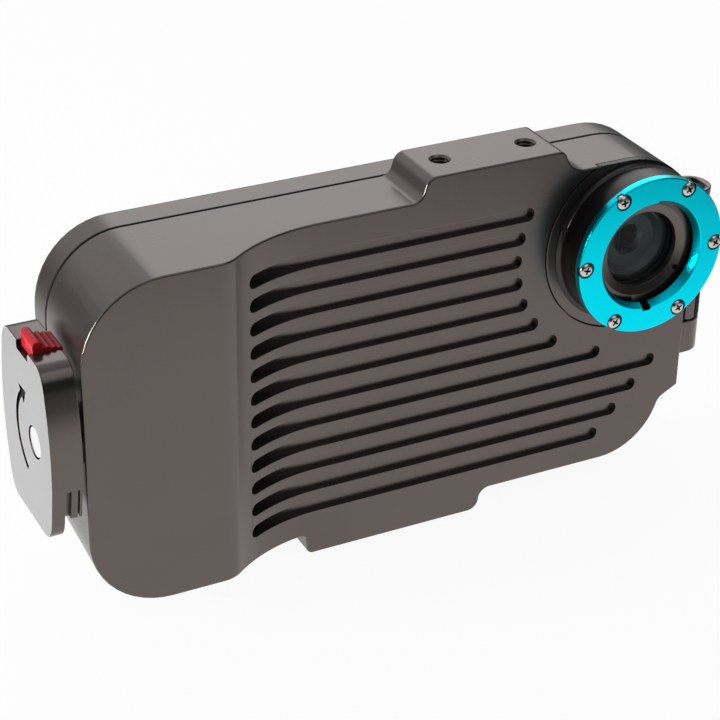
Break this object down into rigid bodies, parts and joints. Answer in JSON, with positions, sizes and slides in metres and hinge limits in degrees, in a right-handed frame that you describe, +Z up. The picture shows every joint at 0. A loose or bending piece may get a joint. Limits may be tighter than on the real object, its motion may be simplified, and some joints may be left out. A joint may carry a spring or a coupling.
{
  "type": "underwater camera housing",
  "caption": "Hinged two-shell metal case that keeps a phone dry for underwater photography, with a finned face, a lens port, a side latch, push buttons and an accessory rail",
  "frame": {"origin": "middle of the flat face of the foot, which the case stands on", "axes": "+X to the right along the case's length, from the latch to the hinge; +Y to the rear, from the lens port to the cover; +Z up, from the foot to the accessory rail"},
  "size_m": [0.2138, 0.0457, 0.11],
  "materials": {
    "shell_metal": "satin dark charcoal anodised",
    "black_metal": "satin black anodised",
    "blue_metal": "bright cyan blue anodised",
    "stainless": "bright stainless steel",
    "lever_metal": "satin silver",
    "button_metal": "satin silver",
    "port_glass": "clear coated optical glass",
    "window_glass": "clear acrylic pane",
    "black_plastic": "matt black",
    "seal_rubber": "greased black rubber",
    "pad_rubber": "matt grey silicone",
    "red_plastic": "glossy red",
    "board_laminate": "green solder mask",
    "battery_foil": "silver foil pouch"
  },
  "bodies": {
    "case": {"front_housing": "shell_metal", "main_seal": "seal_rubber", "port_barrel": "black_metal", "port_seal": "seal_rubber", "port_screw_1": "stainless", "port_screw_2": "stainless", "port_screw_3": "stainless", "port_retainer": "black_metal", "port_glass": "port_glass", "glass_seal": "seal_rubber", "lens_baffle": "black_plastic", "port_ring": "blue_metal", "ring_screw_1": "stainless", "ring_screw_2": "stainless", "ring_screw_3": "stainless", "ring_screw_4": "stainless", "ring_screw_5": "stainless", "ring_screw_6": "stainless", "hinge_pin": "stainless", "pivot_seal": "seal_rubber", "control_board": "board_laminate", "battery": "battery_foil", "phone_pad_1": "pad_rubber", "phone_pad_2": "pad_rubber"},
    "cover": {"rear_cover": "shell_metal", "rear_window": "window_glass", "window_seal": "seal_rubber", "window_frame": "black_metal", "window_screw_1": "stainless", "window_screw_2": "stainless", "window_screw_3": "stainless", "window_screw_4": "stainless", "cover_keeper": "stainless", "button_spring_1": "stainless", "button_spring_2": "stainless", "button_spring_3": "stainless", "button_spring_4": "stainless", "button_spring_5": "stainless", "button_seal_1": "seal_rubber", "button_seal_2": "seal_rubber", "button_seal_3": "seal_rubber", "button_seal_4": "seal_rubber", "button_seal_5": "seal_rubber"},
    "latch": {"latch_lever": "lever_metal", "latch_pivot": "stainless", "pivot_clip": "stainless", "latch_cam": "black_metal", "lock_spring": "stainless"},
    "lock": {"latch_lock": "red_plastic"},
    "button_a": {"button_1": "button_metal", "button_clip_1": "stainless"},
    "button_b": {"button_2": "button_metal", "button_clip_2": "stainless"},
    "button_c": {"button_3": "button_metal", "button_clip_3": "stainless"},
    "button_d": {"button_4": "button_metal", "button_clip_4": "stainless"},
    "button_e": {"button_5": "button_metal", "button_clip_5": "stainless"}
  },
  "joints": [
    {"name": "cover_hinge", "type": "hinge", "parent": "case", "child": "cover", "pos_m": [0.1031, 0.0028, 0.0524], "axis": [0, 0, -1], "range_deg": [0, 105]},
    {"name": "latch_turn", "type": "hinge", "parent": "case", "child": "latch", "pos_m": [-0.0959, -0.011, 0.0585], "axis": [1, 0, 0], "range_deg": [0, 90]},
    {"name": "lock_slide", "type": "slide", "parent": "latch", "child": "lock", "axis": [-1, 0, 0], "range_m": [0, 0.0025]},
    {"name": "button_1_press", "type": "slide", "parent": "cover", "child": "button_a", "axis": [0, -1, 0], "range_m": [0, 0.0014], "stiffness_N_per_m": 400, "springref_m": -0.0015, "deforming": ["button_spring_1"]},
    {"name": "button_2_press", "type": "slide", "parent": "cover", "child": "button_b", "axis": [0, -1, 0], "range_m": [0, 0.0014], "stiffness_N_per_m": 400, "springref_m": -0.0015, "deforming": ["button_spring_2"]},
    {"name": "button_3_press", "type": "slide", "parent": "cover", "child": "button_c", "axis": [0, -1, 0], "range_m": [0, 0.0014], "stiffness_N_per_m": 400, "springref_m": -0.0015, "deforming": ["button_spring_3"]},
    {"name": "button_4_press", "type": "slide", "parent": "cover", "child": "button_d", "axis": [0, -1, 0], "range_m": [0, 0.0014], "stiffness_N_per_m": 400, "springref_m": -0.0015, "deforming": ["button_spring_4"]},
    {"name": "button_5_press", "type": "slide", "parent": "cover", "child": "button_e", "axis": [0, -1, 0], "range_m": [0, 0.0014], "stiffness_N_per_m": 400, "springref_m": -0.0015, "deforming": ["button_spring_5"]}
  ]
}
